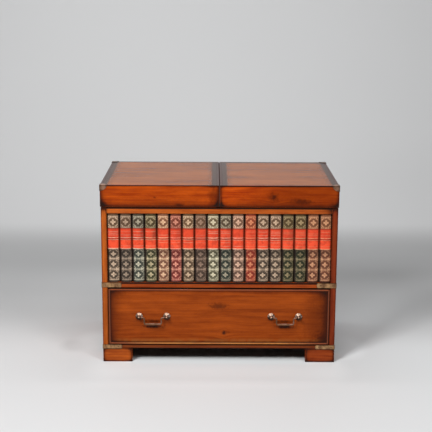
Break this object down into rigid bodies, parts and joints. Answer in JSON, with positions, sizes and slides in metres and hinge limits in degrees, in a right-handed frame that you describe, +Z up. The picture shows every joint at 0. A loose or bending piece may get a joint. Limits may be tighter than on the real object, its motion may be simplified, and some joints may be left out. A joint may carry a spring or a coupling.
{
  "type": "drinks cabinet",
  "caption": "Drinks chest fronted by false book spines over a drawer; two deep lids on side hinges open over into trays.",
  "frame": {"origin": "on the floor, at the middle of the whole object's box, handles, hinge barrels and brass plates included", "axes": "+X to the right as seen from the front, +Y from the front to the back, +Z up"},
  "size_m": [0.8054, 0.4976, 0.6211],
  "materials": {
    "mahogany": "waxed French polish, red-brown, darker at the edges",
    "dark_mahogany": "dark stained, satin",
    "drawer_wood": "bare, oiled",
    "aged_brass": "tarnished, rubbed bright on the high spots",
    "leather_umber": "worn calf, gilt rules",
    "leather_green": "worn calf, gilt rules",
    "leather_tan": "worn calf, gilt rules",
    "leather_red": "worn calf, gilt rules"
  },
  "bodies": {
    "carcass": {"side_left": "mahogany", "side_right": "mahogany", "bottom_board": "mahogany", "divider_board": "mahogany", "back_panel": "dark_mahogany", "top_rail": "mahogany", "book_backing_panel": "dark_mahogany", "bottle_rack": "drawer_wood", "book_spine_01": "leather_umber", "book_spine_02": "leather_umber", "book_spine_03": "leather_green", "book_spine_04": "leather_green", "book_spine_05": "leather_tan", "book_spine_06": "leather_red", "book_spine_07": "leather_tan", "book_spine_08": "leather_umber", "book_spine_09": "leather_green", "book_spine_10": "leather_green", "book_spine_11": "leather_tan", "book_spine_12": "leather_red", "book_spine_13": "leather_umber", "book_spine_14": "leather_umber", "book_spine_15": "leather_green", "book_spine_16": "leather_green", "book_spine_17": "leather_red", "book_spine_18": "leather_red", "foot_front_left": "mahogany", "foot_front_right": "mahogany", "foot_back_left": "mahogany", "foot_back_right": "mahogany", "mid_strap_left": "aged_brass", "mid_strap_right": "aged_brass", "base_strap_left": "aged_brass", "base_strap_right": "aged_brass", "hinge_left_case_leaf": "aged_brass", "hinge_left_pin": "aged_brass", "hinge_right_case_leaf": "aged_brass", "hinge_right_pin": "aged_brass"},
    "lid_left": {"lid_left_frame": "mahogany", "lid_left_top": "mahogany", "lid_left_corner_front": "aged_brass", "lid_left_corner_back": "aged_brass", "hinge_left_lid_leaf": "aged_brass"},
    "lid_right": {"lid_right_frame": "mahogany", "lid_right_top": "mahogany", "lid_right_corner_front": "aged_brass", "lid_right_corner_back": "aged_brass", "hinge_right_lid_leaf": "aged_brass"},
    "drawer": {"drawer_front": "mahogany", "drawer_bead": "dark_mahogany", "drawer_side_left": "drawer_wood", "drawer_side_right": "drawer_wood", "drawer_back": "drawer_wood", "drawer_bottom": "drawer_wood", "handle_left_post_left": "aged_brass", "handle_left_post_right": "aged_brass", "handle_right_post_left": "aged_brass", "handle_right_post_right": "aged_brass"},
    "bail_left": {"handle_left_bail": "aged_brass"},
    "bail_right": {"handle_right_bail": "aged_brass"}
  },
  "joints": [
    {"name": "lid_left_hinge", "type": "hinge", "parent": "carcass", "child": "lid_left", "pos_m": [-0.3997, 0.0102, 0.5445], "axis": [0, -1, 0], "range_deg": [0, 180]},
    {"name": "lid_right_hinge", "type": "hinge", "parent": "carcass", "child": "lid_right", "pos_m": [0.3997, 0.0102, 0.5445], "axis": [0, 1, 0], "range_deg": [0, 180]},
    {"name": "drawer_slide", "type": "slide", "parent": "carcass", "child": "drawer", "axis": [0, -1, 0], "range_m": [0, 0.32]},
    {"name": "bail_left_pivot", "type": "hinge", "parent": "drawer", "child": "bail_left", "pos_m": [-0.2255, -0.2423, 0.164], "axis": [-1, 0, 0], "range_deg": [-20, 170]},
    {"name": "bail_right_pivot", "type": "hinge", "parent": "drawer", "child": "bail_right", "pos_m": [0.2255, -0.2423, 0.164], "axis": [-1, 0, 0], "range_deg": [-20, 170]}
  ]
}
